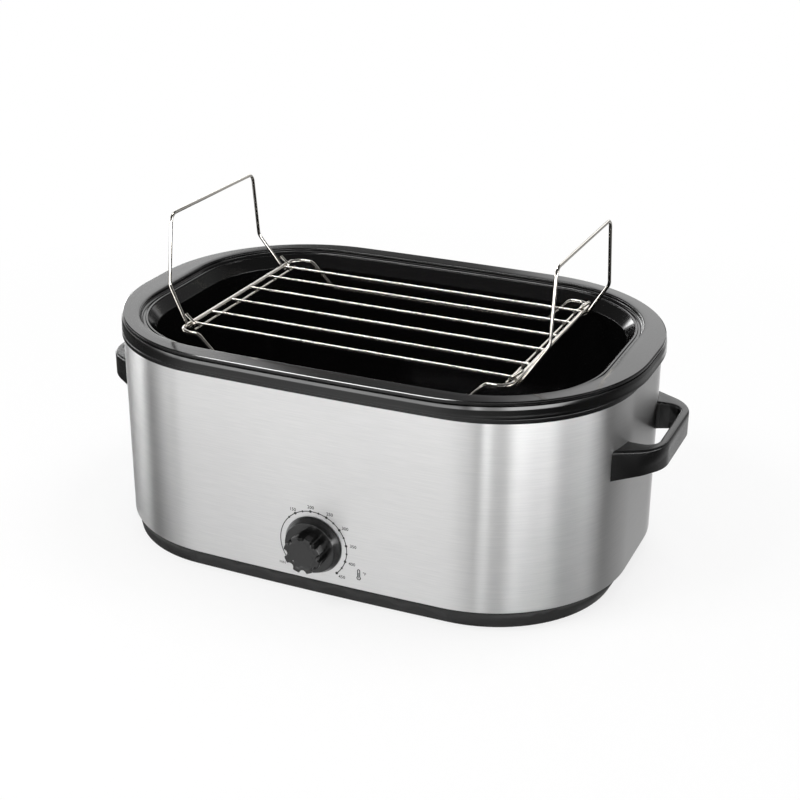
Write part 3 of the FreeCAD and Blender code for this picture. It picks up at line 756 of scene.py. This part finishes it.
plainNodes = {
    "heater": ["heater_band"],
    "wool": ["lagging"],
    "insulator": ["thermostat_body", "terminal_block"],
    "plated": [
        "heater_clips", "heat_shield", "lower_spacers", "upper_spacers", "tie_screws", "thermostat_plate",
        "thermostat_screws", "handle_screws_right", "handle_screws_left", "handle_backing_right",
        "handle_backing_left", "knob_shaft",
    ],
}
for finish, nodes in plainNodes.items():
    for node in nodes:
        materials = cad[node].data.materials
        materials.clear()
        materials.append(finishes[finish])
print("nodes dressed:", len(smoothNodes) + sum(len(nodes) for nodes in plainNodes.values()))


def makeHandles():
    handle = inMetres(edge=0.7, clear=273.0) | {"smooth": 30.0}
    for node in ("handle_right", "handle_left"):
        mesh = mergedCopy(node, handle["smooth"], handle["edge"], handle["clear"])
        addPiece(node + "Smooth", mesh, "handle", "housing", [node])


makeHandles()
print("handles made")


# One turned profile, set down four times
def makeFeet():
    foot = inMetres(radius=13.0, height=2.5, stem=4.0, edge=0.8, dish=0.5) | {"dishEnd": 0.55, "rimStart": 0.7}
    nodes = ["foot_front_left", "foot_front_right", "foot_rear_left", "foot_rear_right"]
    boxes = [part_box(node) for node in nodes]
    radius, stem, stemTop = foot["radius"], foot["stem"], boxes[0][1].z
    points = [
        (0.0, foot["dish"]), (radius * foot["dishEnd"], foot["dish"]), (radius * foot["rimStart"], 0.0),
        (radius, 0.0), (radius, foot["height"]), (stem, foot["height"]), (stem, stemTop), (0.0, stemTop),
    ]
    radii = [0.3 * mm, 0.3 * mm, foot["edge"], 0.2 * mm, 0.0, 0.0]
    base = profileMesh("footProfile", roundedProfile(points, radii, 4))
    centres = [((low.x + high.x) / 2, (low.y + high.y) / 2) for low, high in boxes]
    spreadX, spreadY = (max(places) - min(places) for places in zip(*centres))
    mesh = footForm.made("rubberFeet", base, "rubber", Spread_X=spreadX, Spread_Y=spreadY)
    for vert in mesh.vertices:
        vert.co.y += middleY
    addPiece("rubberFeet", outward(mesh), "rubber", "housing", nodes)


makeFeet()
print("feet made")


# A flat disc, a fluted grip and a boss, with a painted pointer mark
def makeKnob():
    knob = inMetres(
        back=29.7, face=26.0, disc=8.0, sheet=2.0, edge=0.8, grip=19.2, root=15.4, flute=4.0, dish=0.25, boss=5.0
    ) | {"hub": 0.6, "capRim": 0.78, "capSlope": 0.74, "capFlat": 0.66}
    pointer = inMetres(radius=13.0, length=1.5, width=0.3, proud=0.04, thickness=0.06) | {"turn": 219.0}
    low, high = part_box("knob")
    depth, axisZ = high.y - low.y, (low.z + high.z) / 2
    disc, grip, boss = knob["disc"], knob["grip"], knob["boss"]
    hub, capRim, capSlope, capFlat = (grip * knob[key] for key in ("hub", "capRim", "capSlope", "capFlat"))
    inside, dished = disc - knob["sheet"], depth - knob["dish"]
    discPoints = [
        (hub, inside), (knob["face"] - knob["sheet"], inside), (knob["back"] - knob["sheet"], 0.0),
        (knob["back"], 0.0), (knob["face"], disc), (hub, disc), (hub, inside),
    ]
    discProfile = roundedProfile(discPoints, [0.3 * mm, 0.2 * mm, 0.3 * mm, knob["edge"], 0.0])[:-1]
    gripPoints = [
        (0.0, disc - knob["sheet"] / 2), (grip, disc - knob["sheet"] / 2), (grip, depth),
        (capRim, depth), (capSlope, dished), (capFlat, dished), (0.0, dished),
    ]
    gripProfile = roundedProfile(gripPoints, [0.0, knob["edge"], 0.3 * mm, 0.3 * mm, 0.0])
    bossProfile = [(0.0, 0.0), (boss, 0.0), (boss, disc), (0.0, disc)]
    plain = {"Flute": 0.0, "Root": 1.0, "Rim": 0.001}
    fluted = {"Flute": knob["flute"], "Root": knob["root"], "Rim": grip}
    parts = [
        gripForm.made("knobDisc", profileMesh("discProfile", discProfile, True), "dial", **plain),
        gripForm.made("knobGrip", profileMesh("gripProfile", gripProfile), "dial", **fluted),
        gripForm.made("knobBoss", profileMesh("bossProfile", bossProfile), "dial", **plain),
    ]
    shape = opened(*parts)
    bmesh.ops.recalc_face_normals(shape, faces=shape.faces)
    shape.transform(Matrix.Translation((0.0, high.y, axisZ)) @ Matrix.Rotation(math.pi / 2, 4, "X"))
    mesh = written(shape, bpy.data.meshes.new("dialKnob"))
    addPiece("dialKnob", smoothed(mesh, 28.0), "dial", "dial", ["knob"])

    turn = math.radians(pointer["turn"])
    outwards = Vector((math.cos(turn), 0.0, math.sin(turn)))
    sideways = Vector((-math.sin(turn), 0.0, math.cos(turn)))
    centre = Vector((0.0, low.y + knob["dish"] - pointer["proud"], axisZ)) + outwards * pointer["radius"]
    along, across = outwards * pointer["length"], sideways * pointer["width"]
    front = [centre + along + across, centre + along - across, centre - along - across, centre - along + across]
    back = [point + Vector((0.0, pointer["thickness"], 0.0)) for point in front]
    faces = [(0, 1, 2, 3), (7, 6, 5, 4)] + [(a, a + 4, (a + 1) % 4 + 4, (a + 1) % 4) for a in range(4)]
    mark = meshOf("knobMark", front + back, faces=faces)
    addPiece("knobMark", outward(mark), "mark", "dial")


makeKnob()
print("knob made")


# Frame wire, grate wires, cross wires under the ends, and beads of weld
def makeRack():
    rack = inMetres(
        wire=2.25, grateWire=1.4, crossWire=1.6, corner=14.0, flat=8.0, slope=26.0, bend=8.0, pitch=40.4,
        edgeInset=26.5, crossInset=8.8, crossOver=11.3, weld=1.75, weldInset=0.3,
    ) | {"inner": 4, "weldFlat": 0.75}
    wire, grateWire, crossWire = rack["wire"], rack["grateWire"], rack["crossWire"]

    def addWire(name, mesh, replaced=()):
        addPiece(name, mesh, "chrome", "rack", replaced)

    low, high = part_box("rack_frame")
    top, foot = high.z - wire, low.z + wire
    halfLength = (high.x - low.x) / 2 - wire
    halfDepth = (high.y - low.y) / 2 - wire
    slopeStart = halfLength - rack["corner"] - rack["flat"]
    slopeEnd = slopeStart - rack["slope"]
    quarter = [(slopeEnd, foot, "bend"), (slopeStart, top, "bend"), (halfLength, top, "corner")]
    points, bends = [], []
    for sideX, sideY in ((1, -1), (1, 1), (-1, 1), (-1, -1)):
        run = quarter if sideX * sideY < 0 else list(reversed(quarter))
        for x, z, bend in run:
            points.append((sideX * x, sideY * halfDepth + middleY, z))
            bends.append(rack[bend])
    frameMesh = wireForm.made("rackFrame", pathMesh("framePath", points, bends, True), "chrome", Wire=wire)
    addWire("rackFrame", outward(frameMesh), ["rack_frame"])

    edge = halfDepth - rack["edgeInset"]
    inner = [(place - (rack["inner"] - 1) / 2) * rack["pitch"] for place in range(rack["inner"])]
    rows = [-edge, *inner, edge]
    base = meshOf("grateRows", [(0.0, y + middleY, top) for y in rows])
    reach = halfLength - wire
    grate = rowForm.made("rackGrate", base, "chrome", Reach=reach, Wire=grateWire)
    addWire("rackGrate", outward(grate), ["grate_wires"])

    crossX = halfLength - rack["crossInset"]
    crossZ = top - grateWire - crossWire
    crossReach = edge + rack["crossOver"]
    ends = [(side * crossX, way * crossReach + middleY, crossZ) for side in (-1, 1) for way in (-1, 1)]
    base = meshOf("crossPaths", ends, [(0, 1), (2, 3)], bend=[0.0] * 4)
    cross = wireForm.made("rackCross", base, "chrome", Wire=crossWire)
    addWire("rackCross", outward(cross), ["rack_cross_wires"])

    welds = [(side * (reach - rack["weldInset"]), y + middleY, top) for side in (-1, 1) for y in rows]
    welds += [(side * crossX, y + middleY, top - grateWire) for side in (-1, 1) for y in rows]
    base = meshOf("weldPlaces", welds)
    addWire("rackWelds", beadForm.made("rackWelds", base, "chrome", Bead=rack["weld"], Flatten=rack["weldFlat"]))


# Each bail is one wire: tail, open eye, leg, knee, grip bar, and back down the other side
def makeBail(name, node, side):
    bail = inMetres(
        wire=1.7, gap=0.25, endWire=2.25, leg=43.5, kneeHalf=92.0, upper=70.0, topHalf=82.0, eyeInset=22.2,
        tail=10.0, knee=12.0, corner=9.0,
    ) | {"legAngle": 32.2, "eye": 197.0, "eyeSteps": 22}
    low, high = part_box("rack_frame")
    pivotX = (high.x - low.x) / 2 - bail["endWire"]
    pivotZ = high.z - bail["endWire"]
    half = (high.y - low.y) / 2 - bail["endWire"] - bail["eyeInset"]
    radius = bail["endWire"] + bail["gap"] + bail["wire"]

    def leaning(angle, length):
        turn = math.radians(angle)
        return Vector((length * math.sin(turn), 0.0, length * math.cos(turn)))

    lean = bail["legAngle"]
    lastTurn = lean + 90 + bail["eye"]
    eyeEnd = leaning(lastTurn, radius)
    run = [(eyeEnd + leaning(lastTurn + 90, bail["tail"]), 0.0)]
    for step in range(bail["eyeSteps"] + 1):
        angle = lastTurn - bail["eye"] * step / bail["eyeSteps"]
        run.append((leaning(angle, radius), 0.0))
    root = leaning(lean + 90, radius)
    knee = root + leaning(lean, bail["leg"])
    top = knee + Vector((0.0, 0.0, bail["upper"]))
    widths = [half] * len(run) + [bail["kneeHalf"], bail["topHalf"]]
    run += [(knee, bail["knee"]), (top, bail["corner"])]
    oneSide = [(point, -width, bend) for (point, bend), width in zip(run, widths)]
    otherSide = [(point, -y, bend) for point, y, bend in reversed(oneSide)]
    points, bends = [], []
    for point, y, bend in oneSide + otherSide:
        points.append((side * (point.x + pivotX), y + middleY, point.z + pivotZ))
        bends.append(bend)
    mesh = wireForm.made(name, pathMesh(name + "Path", points, bends), "chrome", Wire=bail["wire"])
    addPiece(name, outward(mesh), "chrome", node, [node])


makeRack()
makeBail("bailRight", "bail_right", 1)
makeBail("bailLeft", "bail_left", -1)
print("rack made")


# The dial's print on the wall, round the knob
knobLow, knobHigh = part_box("knob")
dial = inMetres(scale=35.2, line=0.95, lift=0.04, ink=0.03) | {
    "height": (knobLow.z + knobHigh.z) / 2 - 0.4 * mm, "end": 136.0, "first": -32.0, "pitch": 28.0, "count": 7
}


# Carries a print drawn in the plane of the front onto the bowed wall
def laid(mesh):
    for vert in mesh.vertices:
        vert.co.y += middleY - wrapOutline.sideY(vert.co.x) - dial["lift"]
    return outward(mesh)


# Outlines in the plane of the front, as a thin skin of ink
def printed(name, polygons):
    shape = opened()
    for polygon in polygons:
        shape.faces.new([shape.verts.new((x, -dial["ink"] / 2, z)) for x, z in polygon])
    bmesh.ops.remove_doubles(shape, verts=shape.verts, dist=0.001 * mm)
    bmesh.ops.recalc_face_normals(shape, faces=shape.faces)
    raised = bmesh.ops.extrude_face_region(shape, geom=shape.faces[:])["geom"]
    moved = [part for part in raised if isinstance(part, bmesh.types.BMVert)]
    bmesh.ops.translate(shape, verts=moved, vec=(0.0, dial["ink"], 0.0))
    return laid(written(shape, bpy.data.meshes.new(name)))


def scalePoint(degrees, radius):
    turn = math.radians(degrees)
    return radius * math.sin(turn), dial["height"] + radius * math.cos(turn)


def stamp(name, mesh):
    addPiece(name, mesh, "ink", "housing")


def makeScaleLine():
    steps = 96
    inner, outer = dial["scale"] - dial["line"] / 2, dial["scale"] + dial["line"] / 2
    angles = [-dial["end"] + 2 * dial["end"] * step / steps for step in range(steps + 1)]
    polygons = [
        [scalePoint(a, inner), scalePoint(b, inner), scalePoint(b, outer), scalePoint(a, outer)]
        for a, b in zip(angles, angles[1:])
    ]
    stamp("scaleLine", printed("scaleLine", polygons))


def makeScaleDots():
    dots = inMetres(big=1.45, small=1.12)
    places, widths = [], []
    for place in range(dial["count"]):
        angle = dial["first"] + place * dial["pitch"]
        for turn, width in ((angle, dots["big"]), (angle - dial["pitch"] / 2, dots["small"])):
            x, z = scalePoint(turn, dial["scale"])
            places.append((x, -dial["ink"] / 4, z))
            widths.append(width)
    stamp("scaleDots", laid(dotForm.made("scaleDots", meshOf("dotPlaces", places, bend=widths), "ink")))


# The words are filled at full size and made small afterwards, because tiny outlines fill wrongly
def textMesh(name, words, size, x, z, weight=0.013):
    curve = bpy.data.curves.new(name, "FONT")
    curve.body = words
    curve.size = 1.0
    curve.align_x = "CENTER"
    curve.align_y = "CENTER"
    curve.resolution_u = 3
    curve.offset = weight
    curve.extrude = dial["ink"] / 2 / size
    mesh = finalMesh(addObject(name, curve))
    for vert in mesh.vertices:
        across, up, depth = vert.co * size
        vert.co = Vector((across + x, -depth, up + z))
    return laid(mesh)


def makeNumbers():
    numbers = inMetres(size=4.7, outX=6.6, outZ=4.3, shift=0.8) | {"first": 150, "step": 50}
    least = inMetres(size=3.8, left=9.4, down=1.5) | {"words": "MIN", "weight": 0.0}
    for place in range(dial["count"]):
        angle = math.radians(dial["first"] + place * dial["pitch"])
        x = (dial["scale"] + numbers["outX"]) * math.sin(angle) + numbers["shift"]
        z = dial["height"] + (dial["scale"] + numbers["outZ"]) * math.cos(angle)
        value = str(numbers["first"] + place * numbers["step"])
        stamp("number" + value, textMesh("number" + value, value, numbers["size"], x, z))
    x, z = scalePoint(-dial["end"], dial["scale"])
    x, z = x - least["left"], z - least["down"]
    stamp("numberMin", textMesh("numberMin", least["words"], least["size"], x, z, least["weight"]))


# A small thermometer with its unit, beside the end of the scale
def makeUnit():
    unit = inMetres(
        x=47.6, z=32.4, stem=1.6, bulb=2.3, height=8.0, line=0.95, column=5.5, columnHalf=0.3, size=4.2,
        outX=6.0, outZ=5.6,
    )
    x, z = unit["x"], unit["z"]

    def bow(centreZ, radius, start, end, steps=14):
        turns = [math.radians(start + (end - start) * step / steps) for step in range(steps + 1)]
        return [(x + radius * math.cos(turn), centreZ + radius * math.sin(turn)) for turn in turns]

    def loop(shrink):
        stem, bulb = unit["stem"] - shrink, unit["bulb"] - shrink
        side = math.degrees(math.acos(stem / bulb))
        return bow(z + unit["height"], stem, 0, 180) + bow(z, bulb, 180 - side, 360 + side, 28)

    outer, inner = loop(0.0), loop(unit["line"])
    count = len(outer)
    polygons = [[outer[a], outer[(a + 1) % count], inner[(a + 1) % count], inner[a]] for a in range(count)]
    left, right, columnTop = x - unit["columnHalf"], x + unit["columnHalf"], z + unit["column"]
    column = [(left, z), (right, z), (right, columnTop), (left, columnTop)]
    stamp("unitMark", printed("unitMark", polygons + [bow(z, unit["bulb"] - unit["line"] * 2, 0, 340, 17)]))
    stamp("unitColumn", printed("unitColumn", [column]))
    words = textMesh("unitName", "\u00b0F", unit["size"], x + unit["outX"], z + unit["outZ"])
    stamp("unitName", words)


makeScaleLine()
makeScaleDots()
makeNumbers()
makeUnit()
print("dial printed")


# Paper, which fades to plain white away from the object for the camera alone
def makeFloor():
    plane = {"half": 6.0, "tone": 0.95, "near": 0.4, "far": 1.1, "glow": (0.8, 1.0)}
    half = plane["half"]
    corners = [(-half, -half, 0.0), (half, -half, 0.0), (half, half, 0.0), (-half, half, 0.0)]
    floor = addObject("floor", meshOf("floor", corners, faces=[(0, 1, 2, 3)]))
    look = Finish("floor")
    seen = look.out("LightPath", "Is Camera Ray")
    paper = look.out("BsdfDiffuse", "BSDF", sockets={"Color": grey(plane["tone"])})
    glow = look.out("Emission", "Emission", sockets={"Color": grey(1.0), "Strength": 1.0})
    x, y, z = look.axes(look.place)
    away = look.spread((x * x + y * y) ** 0.5, *plane["glow"], plane["near"], plane["far"])
    surface = look.out("MixShader", "Shader", sockets={"Fac": seen * away, 1: paper, 2: glow})
    look.node("OutputMaterial", sockets={"Surface": surface})
    floor.data.materials.append(look.material)
    floor.visible_glossy = False


# The room as metal and gloss see it, by bearing in degrees from the front towards the right: the table
# below, tall soft boxes round it with gaps between them, two panels behind, a strip low in front and
# a bar overhead. Heights are in degrees too, and the bar's reach is in slopes from upright
def makeRoom():
    room = {
        "ambient": 0.62, "dark": 0.1, "tableEdge": -3.0, "edge": 3.0, "brightest": 12,
        "wallTop": 8.0, "wallEnds": (150.0, 158.0), "lift": 6.0, "liftFrom": (68.0, 84.0),
        "panelLow": 8.0, "panelTop": 36.0, "panelStart": (118.0, 130.0),
        "strip": {"tone": 6.0, "from": -46.0, "to": 8.0, "side": 3.0, "low": -3.0, "high": 5.0, "edge": 2.0},
        "overhead": {
            "tone": 30.0, "across": (-0.62, -0.2), "along": (0.02, 0.14), "edge": 0.02, "start": (0.3, 0.35),
        },
    }
    table = {
        -180: 0.95, -160: 1.0, -145: 0.6, -130: 0.1, -95: 0.08, -80: 0.1, -62: 0.25, -50: 0.6,
        -30: 0.95, -25: 1.1, -19: 1.0, -10: 0.88, 0: 0.64, 12: 0.5, 35: 0.35, 55: 0.12,
        75: 0.06, 110: 0.1, 150: 0.45, 166: 0.35, 173: 0.8,
    }
    walls = {
        -180: 0.6, -148: 6.0, -135: 8.0, -125: 8.7, -117: 2.9, -112: 2.4, -104: 6.2, -94: 9.3,
        -88: 11.5, -83: 7.8, -74: 1.9, -63: 4.3, -53: 6.0, -44: 1.0, -36: 0.1, -26: 0.1,
        -2: 0.1, 4: 0.2, 9: 0.1, 16: 12.0, 20: 5.3, 24: 4.6, 30: 5.1, 37: 12.0,
        41: 12.0, 52: 10.7, 62: 10.9, 73: 6.9, 83: 7.9, 94: 9.4, 104: 5.9, 114: 0.7,
    }
    panels = {
        -180: 1.6, -163: 1.6, -160: 0.1, -152: 0.1, -149: 1.55, -130: 1.4, -120: 0.2,
        120: 0.1, 165: 0.2, 175: 1.6,
    }
    world = bpy.data.worlds.new("studio")
    scene.world = world
    world.use_nodes = True
    look = Look(world.node_tree)
    x, y, z = look.axes(look.out("TexCoord", "Generated"))
    bearing = look.maths("ARCTAN2", x, y * -1) * (180 / math.pi)
    height = look.maths("ARCSINE", z) * (180 / math.pi)
    aside = look.maths("ABSOLUTE", bearing)

    def around(tones):
        stops = [((degrees + 180) / 360, grey(tone / room["brightest"])) for degrees, tone in tones.items()]
        ramp = look.out("ValToRGB", "Color", {"stops": stops}, {"Fac": (bearing + 180) / 360})
        return ramp * room["brightest"]

    def above(level, edge=room["edge"]):
        return look.spread(height, 0.0, 1.0, level - edge / 2, level + edge / 2)

    # One between two limits of a value and nothing outside them
    def between(value, low, high, edge):
        rising = look.spread(value, 0.0, 1.0, low - edge, low + edge)
        return rising * look.spread(value, 1.0, 0.0, high - edge, high + edge)

    front = look.spread(aside, 1.0, 0.0, *room["wallEnds"])
    lift = look.spread(bearing, 0.0, room["lift"], *room["liftFrom"])
    upper = room["dark"] + (around(walls) - room["dark"]) * front * (1 - above(room["wallTop"] + lift))
    behind = look.spread(aside, 0.0, 1.0, *room["panelStart"])
    upper = upper + around(panels) * behind * above(room["panelLow"]) * (1 - above(room["panelTop"]))
    overhead = room["overhead"]
    bar = look.spread(z, 0.0, 1.0, *overhead["start"])
    for slope, name in ((x / z, "across"), (y / z, "along")):
        bar = bar * between(slope, *overhead[name], overhead["edge"])
    upper = upper + overhead["tone"] * bar
    lower = around(table)
    glossy = lower + (upper - lower) * above(room["tableEdge"] + lift)
    strip = room["strip"]
    ahead = between(bearing, strip["from"], strip["to"], strip["side"])
    high = above(strip["low"], strip["edge"]) * (1 - above(strip["high"], strip["edge"]))
    glossy = glossy + strip["tone"] * ahead * high
    path = look.node("LightPath")
    seen, mirrored = (Signal(look, path.outputs[name]) for name in ("Is Camera Ray", "Is Glossy Ray"))
    strength = room["ambient"] + (glossy - room["ambient"]) * mirrored
    strength = strength + (1.0 - strength) * seen
    background = look.out("Background", "Background", sockets={"Color": grey(1.0), "Strength": strength})
    look.node("OutputWorld", sockets={"Surface": background})


def addLamp(name, place, target, size, power):
    data = bpy.data.lights.new(name, "AREA")
    data.shape = "RECTANGLE"
    data.size, data.size_y = size
    data.energy = power
    lamp = addObject(name, data)
    lamp.location = place
    lamp.rotation_mode = "QUATERNION"
    lamp.rotation_quaternion = (Vector(target) - Vector(place)).to_track_quat("-Z", "Y")
    lamp.visible_glossy = False


def makeCamera():
    view = {"azimuth": 23.8, "elevation": 23.514, "roll": 0.2953, "distance": 1.5963, "lens": 1537.7 / 800 * 36}
    aim = inMetres(right=10.6, up=26.366, height=109.5)
    a, e, r = (math.radians(view[key]) for key in ("azimuth", "elevation", "roll"))
    back = Vector((math.sin(a) * math.cos(e), -math.cos(a) * math.cos(e), math.sin(e)))
    right = Vector((math.cos(a), math.sin(a), 0.0))
    up = back.cross(right)
    right, up = right * math.cos(r) + up * math.sin(r), up * math.cos(r) - right * math.sin(r)
    target = right * aim["right"] + up * aim["up"] + Vector((0.0, middleY, aim["height"]))
    data = bpy.data.cameras.new("camera")
    data.lens = view["lens"]
    data.sensor_width = 36.0
    data.clip_start = 0.05
    camera = addObject("camera", data)
    turned = Matrix((right, up, back)).transposed().to_4x4()
    camera.matrix_world = Matrix.Translation(target + back * view["distance"]) @ turned
    scene.camera = camera


makeFloor()
makeRoom()
addLamp("keyLamp", place=(-0.9, -1.1, 1.9), target=(0, 0, 0.1), size=(0.9, 0.6), power=16)
addLamp("topLamp", place=(0.5, 0.3, 1.9), target=(0, 0, 0.1), size=(0.7, 0.7), power=10)
makeCamera()
scene.view_settings.view_transform = "Standard"
print("stage set")
